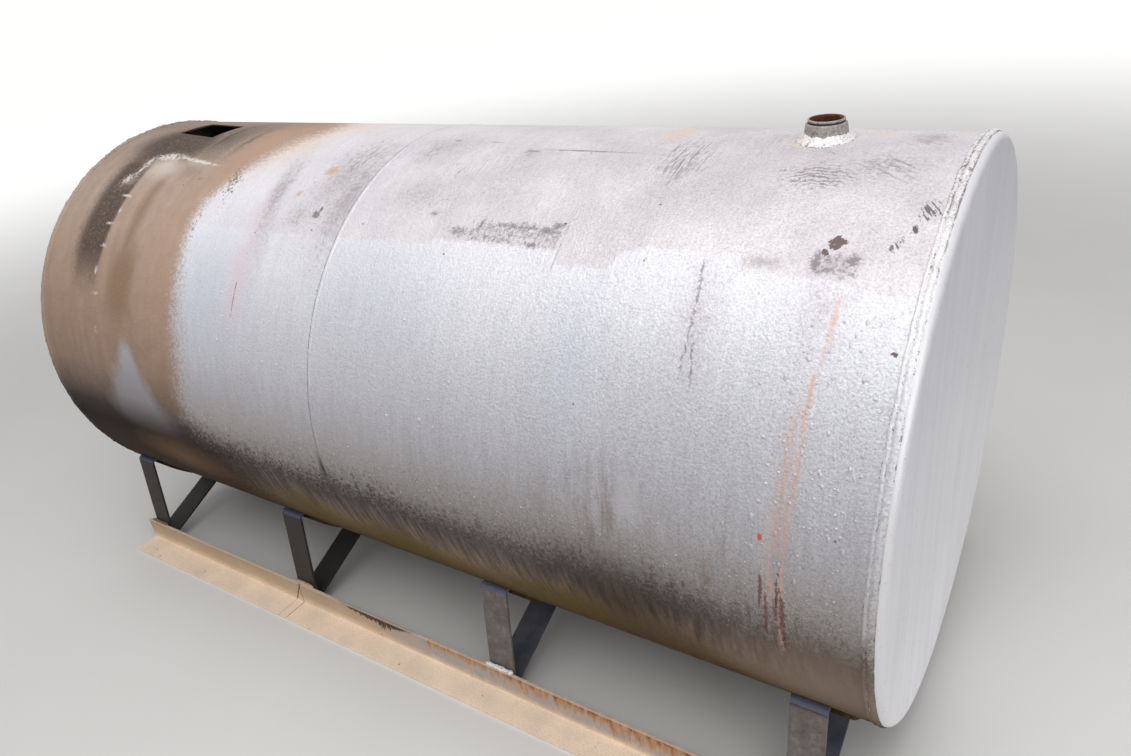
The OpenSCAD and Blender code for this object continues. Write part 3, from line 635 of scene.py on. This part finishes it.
def dusty_angle_iron(colours):
    """Hot-rolled angle iron, once painted: dry clay dust over rust, flaked dark scale, and a light top edge that is
    worn paint and a painted highlight.
    """
    material, node = new_material("dusty hot-rolled angle iron")
    here, x, _, z = places(node)
    flakes = node("TexNoise", here, per(22), 6.0, 0.72)
    # Grain of the dust, 3.5 mm as drawn, because its real grain would not show
    grain = node("TexNoise", here, per(3.5), 3.0, 0.75)
    patch = node("TexNoise", here, per(120), 3.0, 0.6)
    # Peach dust lies thick on the flat and thin on the upright; blue-grey paint shows through at the right
    base = node("ValToRGB", z, ramp=[(0.006, colours.rail), (0.016, "#f0d8bf"), (0.035, "#d3b99d"), (0.078, "#bfa48b")])
    for pattern, dark, light in ((grain, 0.84, 1.12), (patch, 0.90, 1.08)):
        base = node("HueSaturation", 0.5, 1.0, node("MapRange", pattern, 0.3, 0.7, dark, light), 1.0, base)
    bare = node("MULTIPLY", node("MapRange", x, -0.16, 0.05), node("MapRange", z, 0.008, 0.030))
    bare = node("MULTIPLY", bare, node("MapRange", flakes, 0.40, 0.56, 0.25, 1.0))
    # A jagged band of dark scale along the top, between the second and third legs
    depth = curve_along(node, x, -0.30, 0.05, 0, 0.036, [
        (-0.30, 0), (-0.258, 0.0036), (-0.1775, 0.0162), (-0.125, 0.0216), (-0.083, 0.0306), (-0.0375, 0.0162),
        (0.022, 0.00432), (0.05, 0)])
    jag = streaks(node, here, 12, 30, 4.0, 0.7)
    depth = node("MULTIPLY", depth, node("MapRange", jag, 0.3, 0.7, 0.2, 1.7))
    scale = node("MapRange", node("ADD", node("SUBTRACT", z, RAIL_TOP - 0.0005), depth), 0.0, 0.003)
    # Ochre and red rust runs down from the top edge at the right
    down = node("ADD", node("MapRange", z, 0.010, RAIL_TOP, -0.22, 0.20), node("MapRange", x, 0.0, 0.70, -0.05, 0.06))
    down = node("ADD", down, streaks(node, here, 17, 60, 4.0, 0.65))
    down = node("ADD", down, node("MapRange", x, 0.02, 0.06, -0.5, 0.0))
    # A light line along the top edge: worn paint with a painted highlight on it
    edge = node("ADD", z, node("MapRange", grain, 0.3, 0.7, -0.0015, 0.0015))
    edge = node("MapRange", edge, RAIL_TOP - 0.0038, RAIL_TOP - 0.0025)
    # The butt joint leans: it lies where x = 0.53 z - 0.467
    off_joint = node("ABSOLUTE", node("ADD", x, node("MULTIPLY_ADD", z, -0.53, 0.467)))
    joint = node("MULTIPLY", node("MapRange", off_joint, 0.0012, 0.0030, 0.9, 0), node("MapRange", z, 0.006, 0.012))
    base = lay(node, base, (bare, "#b5b0b1"), (node("MapRange", down, 0.50, 0.64, 0.0, 0.85), colours.rust),
               (node("MapRange", down, 0.66, 0.78, 0.0, 0.85), "#8d5638"), (scale, "#5a4739"),
               (node("MapRange", flakes, 0.66, 0.70), "#6a5442"), (node("MULTIPLY", edge, 0.6), "#e4d6c6"),
               (joint, "#4a3526"))
    finish_material(node, base, 0.85, 0.0, node("ADD", flakes, node("MULTIPLY", grain, 0.35)), 0.0012, 0.2)
    return material


def dirty_paint_on_bar(name, tone, wear_and_sky_reflection):
    """Paint brushed on flat steel bar and gone dull, darker towards the left end as painted shade. The last
    argument is the share of what the legs show and the struts don't: pale and brown scuffs, rust at the foot and a
    painted bluish sky reflection on the bent top."""
    material, node = new_material(name)
    here, x, _, z = places(node)
    grain = node("TexNoise", here, per(4), 3.0, 0.7)
    cloud = node("TexNoise", here, per(60), 4.0, 0.6)
    scuffs = node("TexNoise", here, per(20), 4.0, 0.75)
    base = node("Mix", node("MapRange", cloud, 0.3, 0.7, 0.0, 0.35), tone, "#8c8684")
    base = node("HueSaturation", 0.5, 1.0, node("MapRange", grain, 0.3, 0.7, 0.88, 1.10), 1.0, base)
    foot = node("MapRange", node("ADD", z, node("MapRange", cloud, 0.3, 0.7, -0.03, 0.03)), 0.10, 0.04)
    base = lay(node, base, (node("MapRange", scuffs, 0.52, 0.64, 0.0, 0.36 * wear_and_sky_reflection), "#9a9392"),
               (node("MapRange", scuffs, 0.44, 0.36, 0.0, 0.45 * wear_and_sky_reflection), "#5a4334"),
               # Painted shade: darker towards the left end
               (node("MULTIPLY", node("MapRange", x, 0.1, -0.35), 0.9), "#2c2723"),
               (node("MULTIPLY", foot, 0.4 * wear_and_sky_reflection), "#8a6a54"),
               # A painted bluish sky reflection on the bent top
               (node("MULTIPLY", node("MapRange", z, 0.302, 0.310), 0.7 * wear_and_sky_reflection), "#566079"))
    relief = node("ADD", cloud, node("MULTIPLY", grain, 0.5))
    finish_material(node, base, node("MapRange", grain, 0.3, 0.7, 0.55, 0.7), 0.15, relief, 0.0008, 0.3)
    return material


# ---------------------------------------------------------------- mesh helpers

def lump(place, millimetres, seed=0.0):
    """Smooth noise from -1 to 1 with features of this size."""
    return noise.noise(Vector(place) * (1000 / millimetres) + Vector((seed, 1.7 * seed, 2.3 * seed)))


def piece(name, mesh, material, replaced=()):
    """A finished mesh as a piece on the root body, in place of the CAD nodes it stands for."""
    mesh.materials.clear()
    mesh.materials.append(material)
    mesh.shade_smooth()
    obj = bpy.data.objects.new(name, mesh)
    bpy.context.scene.collection.objects.link(obj)
    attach(obj, "root")
    if replaced:
        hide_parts(*replaced)
    return obj


def grid_mesh(name, rows, closed):
    """A mesh from rows of points; closed joins the last row to the first."""
    width = len(rows[0])
    faces = []
    for i in range(len(rows) if closed else len(rows) - 1):
        a, b = i * width, (i + 1) % len(rows) * width
        faces += [(a + j, a + j + 1, b + j + 1, b + j) for j in range(width - 1)]
    mesh = bpy.data.meshes.new(name)
    mesh.from_pydata([p for row in rows for p in row], [], faces)
    mesh.validate()
    return mesh


def turns(count):
    """Angles at even steps round a circle."""
    return [2 * pi * i / count for i in range(count)]


def bead_mesh(name, x, width, height, step, across, rise):
    """A bead round the shell; rise(t, point) gives the share of its height at t, -1 to 1."""
    rows = []
    for angle in turns(round(2 * pi * TANK_R / step)):
        out = Vector((0, sin(angle), cos(angle)))
        row = []
        for j in range(across + 1):
            t = 2 * j / across - 1
            on_shell = Vector((x + t * width / 2, 0, AXIS_Z)) + out * TANK_R
            # The bead wanders sideways by 1.2 mm, and its edges lie 0.5 mm inside the shell
            push = 0.0012 * lump(on_shell, 26, 5.0) * (1 - abs(t) * 0.3)
            row.append(on_shell + out * (height * rise(t, on_shell) - 0.0005) + Vector((push, 0, 0)))
        rows.append(row)
    return grid_mesh(name, rows, True)


def assign(nodes, material):
    """Give CAD nodes a material in their own slots."""
    for name in nodes:
        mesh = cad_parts[name].data
        mesh.materials.clear()
        mesh.materials.append(material)


def node_names(stem):
    return [f"{side}_{stem}_{i}" for side in SIDES for i in range(1, 5)]


def worn_copy(name, edge, dent, step=0.02):
    """The CAD node's own solid with rounded edges and small dents, as a new mesh cut across at each step."""
    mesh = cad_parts[name].data.copy()
    mesh.name = name + "_worn"
    bm = bmesh.new()
    bm.from_mesh(mesh)
    bmesh.ops.remove_doubles(bm, verts=bm.verts, dist=1e-5)
    bmesh.ops.dissolve_limit(bm, angle_limit=radians(0.5), verts=bm.verts, edges=bm.edges)
    low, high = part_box(name)
    axis = 0 if high.x - low.x > 0.3 else 2
    cuts = int((high[axis] - low[axis]) / step)
    for i in range(1, cuts):
        at = Vector((0, 0, 0))
        at[axis] = low[axis] + (high[axis] - low[axis]) * i / cuts
        way = Vector((0, 0, 0))
        way[axis] = 1
        bmesh.ops.bisect_plane(bm, geom=bm.verts[:] + bm.edges[:] + bm.faces[:], plane_co=at, plane_no=way)
    sharp = [e for e in bm.edges if len(e.link_faces) == 2 and e.calc_face_angle(0) > radians(40)]
    bmesh.ops.bevel(bm, geom=sharp, offset=edge, segments=2, affect="EDGES", profile=0.6, clamp_overlap=True)
    bm.normal_update()
    for vert in bm.verts:
        # Dents 60 mm and 18 mm across, mostly inwards, and kept inside the CAD node's box
        shift = dent * (0.6 * lump(vert.co, 60) + 0.4 * lump(vert.co, 18, 3.0) - 0.5)
        vert.co += vert.normal * shift
        for k in range(3):
            vert.co[k] = min(max(vert.co[k], low[k]), high[k])
    bm.to_mesh(mesh)
    bm.free()
    for layer in [a.name for a in mesh.attributes if a.name == "custom_normal"]:
        mesh.attributes.remove(mesh.attributes[layer])
    return mesh


def worn_piece(name, material, sizes):
    obj = piece(name + "_worn", worn_copy(name, sizes.worn_edge, sizes.dent), material, [name])
    obj.modifiers.new("flat faces", "WEIGHTED_NORMAL").keep_sharp = True


# ---------------------------------------------------------------- operators

class TANK_OT_shell(Operator):
    """Paint the two shell plates"""
    bl_idname = "tank.shell"
    bl_label = "Shell paint"

    def execute(self, context):
        colours = context.scene.tank_colours
        for side, stretch in (("left", (WHOLE_SHELL[0], SEAM_X)), ("right", (SEAM_X, WHOLE_SHELL[1]))):
            assign(["shell_" + side], aluminium_paint_on_shell(colours, f"{SHELL_PAINT}, {side} plate", stretch))
        # For the pieces that lie along both plates
        aluminium_paint_on_shell(colours, SHELL_PAINT, WHOLE_SHELL)
        return {"FINISHED"}


class TANK_OT_ends(Operator):
    """Paint the two flat end plates"""
    bl_idname = "tank.ends"
    bl_label = "End plates"

    def execute(self, context):
        assign(["end_left", "end_right"], aluminium_paint_on_plate(context.scene.tank_colours))
        return {"FINISHED"}


class TANK_OT_round_welds(Operator):
    """Lumpy beads round both ends and on the middle seam"""
    bl_idname = "tank.round_welds"
    bl_label = "Round welds"

    def execute(self, context):
        sizes = context.scene.tank_sizes
        # For the rim welds and for the weld round the neck
        paint = aluminium_paint_on_shell(context.scene.tank_colours, "aluminium paint over arc weld",
                                         (WHOLE_SHELL[0], -1.15), (NECK_X - 0.1, NECK_X + 0.1),
                                         (1.15, WHOLE_SHELL[1]), weld=True)

        def rim_rise(side, t, p):
            """Two ridges, the outer one of drops; wild near the top and calmer down the sides."""
            t = t * side
            t = t + 0.14 * lump(p, 34, 7.0)
            down = TANK_R * abs(atan2(p.y, p.z - AXIS_Z))
            wild = 1 - 0.55 * min(1, max(0, (down - 0.30) / 0.20))
            inner = max(0, 1 - ((t + 0.56) / 0.36) ** 2) * (0.62 + 0.6 * wild * lump(p, 12, 2.0))
            drops = 0.76 + wild * (0.70 * lump(p, sizes.rim_lump * 1000, 9.0) + 0.25 * lump(p, 40, 4.0))
            outer = max(0, 1 - ((t - 0.34) / 0.52) ** 2) ** 0.7 * drops
            return max(inner, outer, 0) + 0.24 * wild * lump(p, 5.5, 1.0) * max(0, 1 - t * t)

        def seam_rise(t, p):
            """One low ridge with even ripples."""
            ripple = 0.75 + 0.35 * lump(p, sizes.seam_lump * 1000, 6.0)
            return (1 - t * t) * ripple

        for side, name in ((1, "rim_weld_right"), (-1, "rim_weld_left")):
            low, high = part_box(name)
            mesh = bead_mesh(name + "_lumps", (low.x + high.x) / 2, sizes.rim_width, sizes.rim_height,
                             step=0.0026, across=16, rise=partial(rim_rise, side))
            piece(name + "_lumps", mesh, paint, [name])
        mesh = bead_mesh("seam_weld_ripples", SEAM_X, sizes.seam_width, sizes.seam_height,
                         step=0.0035, across=8, rise=seam_rise)
        piece("seam_weld_ripples", mesh, bpy.data.materials[SHELL_PAINT], ["seam_weld"])
        return {"FINISHED"}


class TANK_OT_neck(Operator):
    """Rusty filler neck, its mouth ring and the broad weld at its foot"""
    bl_idname = "tank.neck"
    bl_label = "Filler neck"

    def execute(self, context):
        iron = rusty_cast_iron()
        assign(["filler_neck"], iron)
        rows = []
        for angle in turns(120):
            way = Vector((cos(angle), sin(angle), 0))
            rows.append([Vector((NECK_X, 0, NECK[0].z + z / 1000))
                         + way * (r / 1000 + 0.0003 * lump(way * r / 1000, 8, z)) for r, z in MOUTH])
        mesh = grid_mesh("filler_ring_lip", rows, True)
        bm = bmesh.new()
        bm.from_mesh(mesh)
        for turn in (36, 216):
            place = Matrix.Translation((NECK_X, 0, NECK[0].z + 0.0045)) @ Matrix.Rotation(radians(turn), 4, "Z")
            place = place @ Matrix.Translation((CATCH_R, 0, 0)) @ Matrix.Diagonal((*CATCH_SIZE, 1))
            block = bmesh.ops.create_cube(bm, size=1, matrix=place)
            edges = {e for vert in block["verts"] for e in vert.link_edges}
            bmesh.ops.bevel(bm, geom=list(edges), offset=0.0012, segments=2, affect="EDGES")
        bm.to_mesh(mesh)
        bm.free()
        piece("filler_ring_lip", mesh, iron, ["filler_ring"])

        # The weld lies on the shell from the foot of the neck to its uneven rim, with lumps of 13 and 6 mm
        height = context.scene.tank_sizes.neck_weld_height
        low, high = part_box("neck_weld")
        reach = (high.x - low.x) / 2
        foot = reach - 0.0225
        rows = []
        for angle in turns(180):
            way = Vector((cos(angle), sin(angle), 0))
            rim = reach - 0.001 + 0.004 * lump(way, 400, 8.0) + 0.003 * lump(way, 130, 3.0)
            row = []
            for j in range(17):
                s = j / 16
                p = Vector((NECK_X, 0, 0)) + way * (foot + 0.0005 + (rim - foot) * s)
                lumps = (0.0030 * lump(p, 13, 2.0) + 0.0016 * lump(p, 6, 4.0)) * min(1, 4 * (1 - s), 0.3 + 3 * s)
                slope = height * (1 - s) ** 1.9 * (0.85 + 0.2 * lump(way, 160, 1.0))
                p.z = AXIS_Z + sqrt(TANK_R ** 2 - p.y ** 2) + slope + lumps - 0.0006 * s
                row.append(p)
            rows.append(row)
        paint = bpy.data.objects["rim_weld_right_lumps"].data.materials[0]
        piece("neck_weld_lumps", grid_mesh("neck_weld_lumps", rows, True), paint, ["neck_weld"])
        return {"FINISHED"}


class TANK_OT_rails(Operator):
    """Dusty angle-iron rails with worn edges"""
    bl_idname = "tank.rails"
    bl_label = "Rails"

    def execute(self, context):
        iron = dusty_angle_iron(context.scene.tank_colours)
        for side in SIDES:
            for half in ("left", "right"):
                worn_piece(f"{side}_rail_{half}", iron, context.scene.tank_sizes)
        return {"FINISHED"}


class TANK_OT_bars(Operator):
    """Legs, struts and pads of flat bar with worn edges"""
    bl_idname = "tank.bars"
    bl_label = "Legs, struts and pads"

    def execute(self, context):
        colours = context.scene.tank_colours
        for stem, paint in (("leg", dirty_paint_on_bar("dull aluminium paint on flat bar", colours.bar, 1.0)),
                            # The struts' dark blue-grey is partly painted shade and sky reflection
                            ("strut", dirty_paint_on_bar("blue-grey primer on flat bar", colours.strut, 0.0))):
            for name in node_names(stem):
                worn_piece(name, paint, context.scene.tank_sizes)
        assign(node_names("pad"), bpy.data.materials[SHELL_PAINT])
        return {"FINISHED"}


class TANK_OT_stand_welds(Operator):
    """Short lumpy welds between rails, legs and struts"""
    bl_idname = "tank.stand_welds"
    bl_label = "Stand welds"

    def execute(self, context):
        half_thick = context.scene.tank_sizes.foot_weld
        paint = paint_on_stand_weld()
        for side, way in SIDES.items():
            rail_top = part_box(f"{side}_rail_right")[1].z + 0.0005
            # On the rail's top edge against the leg, and where the strut meets the back of the leg's foot
            welds = (("rail", (-0.043, LEG_OUTSIDE, rail_top), (0.041, LEG_OUTSIDE, rail_top), 1.15),
                     ("strut", (-0.036, LEG_INSIDE, 0.036), (0.036, LEG_INSIDE, 0.036), 0.6))
            for i in range(1, 5):
                low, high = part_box(f"{side}_leg_{i}")
                middle = Vector(((low.x + high.x) / 2, 0, 0))
                for part, start, end, scale in welds:
                    rows = []
                    for k in range(33):
                        s = k / 32
                        p = middle + Vector(start).lerp(Vector(end), s)
                        p.y *= way
                        fat = half_thick * scale * (0.75 + 0.45 * lump(p, 9, i)) * min(1, 0.45 + 6 * s * (1 - s))
                        rows.append([p + Vector((0, cos(a) * fat * 1.15, sin(a) * fat * 0.8))
                                     for a in turns(12) + [2 * pi]])
                    name = f"{side}_{part}_weld_{i}"
                    piece(name, grid_mesh(name, rows, False), paint)
        return {"FINISHED"}


class TANK_OT_blisters(Operator):
    """Paint blisters, runs and grit that stand up from the shell"""
    bl_idname = "tank.blisters"
    bl_label = "Paint blisters"

    def execute(self, context):
        sizes = context.scene.tank_sizes
        chance = Random(7)
        # Where they lie: x from and to, v from and to, share of the number, share of the size
        fields = ((1.00, 1.185, 0.45, 1.00, 0.16, 0.9), (-0.55, 1.15, 0.91, 1.02, 0.62, 0.9),
                  (0.45, 1.15, 0.98, 1.06, 0.12, 1.1), (-0.50, 1.15, 0.55, 1.00, 0.10, 0.8),
                  (1.018, 1.042, 0.90, 1.06, 0.025, 1.0), (1.050, 1.076, 0.88, 1.08, 0.04, 1.0))
        # Three rings of eight points from the foot up and one point on top: share of the width and of the height
        profile = ((1.15, -0.25), (0.95, 0.35), (0.55, 0.85), (0.0, 1.0))
        points, faces = [], []
        for x0, x1, v0, v1, share, scale in fields:
            for _ in range(int(sizes.blisters * share)):
                x, v = chance.uniform(x0, x1), chance.uniform(v0, v1)
                wide = sizes.blister * scale * chance.uniform(0.45, 1.15)
                # In the narrow fields of the rust run they are drawn out into drips
                long = wide * chance.choice((1, 1, 1.4, 2.2) if x1 - x0 > 0.1 else (2, 4, 6))
                high = wide * chance.uniform(0.45, 0.8)
                first = len(points)
                for out, up in profile:
                    for a in turns(8 if out else 1):
                        arc = (v + long * out * sin(a)) / TANK_R
                        r = TANK_R + high * up
                        points.append((x + wide * out * cos(a), -r * sin(arc), AXIS_Z + r * cos(arc)))
                for a in (first, first + 8):
                    faces += [(a + k, a + (k + 1) % 8, a + 8 + (k + 1) % 8, a + 8 + k) for k in range(8)]
                faces += [(first + 16 + k, first + 16 + (k + 1) % 8, first + 24) for k in range(8)]
        mesh = bpy.data.meshes.new("paint_blisters")
        mesh.from_pydata(points, [], faces)
        mesh.validate()
        piece("paint_blisters", mesh, bpy.data.materials[SHELL_PAINT])
        return {"FINISHED"}


class TANK_OT_stage(Operator):
    """Pale floor, soft lamps, white background and the camera"""
    bl_idname = "tank.stage"
    bl_label = "Stage and camera"

    def execute(self, context):
        scene, stage = context.scene, context.scene.tank_stage
        scene.view_settings.view_transform = "Standard"
        # Matt screed: pale and even, with a faint cloudiness
        floor_paint, node = new_material("pale matt floor")
        here = node("TexCoord").outputs["Object"]
        cloud = node("TexNoise", here, per(400), 3.0, 0.5)
        base = node("Mix", node("MapRange", cloud, 0.3, 0.7, 0.0, 0.06), stage.floor_colour, "#bcbab6")
        # The far floor glows towards the white background, and the floor near the tank keeps its shadow
        far = node("MapRange", node("VectorMath", here, operation="LENGTH").outputs["Value"],
                   2.4, 9.0, 0.0, 0.68, interpolation_type="SMOOTHSTEP")
        glow = node("Emission", WHITE, node("MULTIPLY", far, node("LightPath").outputs["Is Camera Ray"]))
        node("OutputMaterial", node("AddShader", node("BsdfDiffuse", base), glow))
        reach = stage.floor / 2
        mesh = bpy.data.meshes.new("floor")
        corners = [(-reach, -reach, 0), (reach, -reach, 0), (reach, reach, 0), (-reach, reach, 0)]
        mesh.from_pydata(corners, [], [(0, 1, 2, 3)])
        mesh.materials.append(floor_paint)
        floor = bpy.data.objects.new("floor", mesh)
        scene.collection.objects.link(floor)

        world = bpy.data.worlds.new("soft white studio")
        world.use_nodes = True
        world.node_tree.nodes.clear()
        node = partial(add, world.node_tree)
        path = node("LightPath").outputs
        seen = node("MAXIMUM", node("MAXIMUM", path["Is Camera Ray"], path["Is Glossy Ray"]),
                    path["Is Transmission Ray"])
        light, white = node("Background", WHITE, stage.sky), node("Background", WHITE, 1.0)
        node("OutputWorld", node("MixShader", seen, light, white))
        scene.world = world

        for name, place, power, width in (("overhead lamp", (0.6, -1.2, 4.2), stage.lamp, 4.0),
                                          ("right lamp", (4.5, -2.0, 2.2), stage.lamp * 0.4, 2.5)):
            lamp = bpy.data.lights.new(name, "AREA")
            lamp.energy, lamp.size = power, width
            obj = bpy.data.objects.new(name, lamp)
            aim = Vector((0.1, 0, 0.6)) - Vector(place)
            obj.location, obj.rotation_euler = place, aim.to_track_quat("-Z", "Y").to_euler()
            scene.collection.objects.link(obj)

        yaw, pitch, roll = CAMERA_YAW, CAMERA_PITCH, CAMERA_ROLL
        ahead = Vector((sin(yaw) * cos(pitch), cos(yaw) * cos(pitch), -sin(pitch)))
        right = ahead.cross(Vector((0, 0, 1))).normalized()
        up = right.cross(ahead)
        across, upward = right * cos(roll) + up * sin(roll), up * cos(roll) - right * sin(roll)
        camera = bpy.data.cameras.new("camera")
        camera.sensor_width, camera.lens = 36, CAMERA_LENS
        camera.clip_end = 500
        obj = bpy.data.objects.new("camera", camera)
        obj.matrix_world = Matrix.Translation(CAMERA_PLACE) @ Matrix((across, upward, -ahead)).transposed().to_4x4()
        scene.collection.objects.link(obj)
        scene.camera = obj
        return {"FINISHED"}


OPERATORS = (TANK_OT_shell, TANK_OT_ends, TANK_OT_round_welds, TANK_OT_neck, TANK_OT_rails, TANK_OT_bars,
             TANK_OT_stand_welds, TANK_OT_blisters, TANK_OT_stage)


class TANK_PT_panel(Panel):
    """Lists the pieces of the tank"""
    bl_label = "Storage tank"
    bl_idname = "TANK_PT_panel"
    bl_space_type = "VIEW_3D"
    bl_region_type = "UI"
    bl_category = "Tank"

    def draw(self, context):
        for operator in OPERATORS:
            self.layout.operator(operator.bl_idname)
        for group in (context.scene.tank_sizes, context.scene.tank_colours, context.scene.tank_stage):
            column = self.layout.column()
            for name in group.__annotations__:
                column.prop(group, name)


CLASSES = (TankSizes, TankColours, TankStage, *OPERATORS, TANK_PT_panel)


def register():
    for cls in CLASSES:
        bpy.utils.register_class(cls)
    bpy.types.Scene.tank_sizes = PointerProperty(type=TankSizes)
    bpy.types.Scene.tank_colours = PointerProperty(type=TankColours)
    bpy.types.Scene.tank_stage = PointerProperty(type=TankStage)


def unregister():
    del bpy.types.Scene.tank_sizes, bpy.types.Scene.tank_colours, bpy.types.Scene.tank_stage
    for cls in reversed(CLASSES):
        bpy.utils.unregister_class(cls)


def main():
    register()
    for operator in OPERATORS:
        group, name = operator.bl_idname.split(".")
        getattr(getattr(bpy.ops, group), name)()


if __name__ == "__main__":
    main()
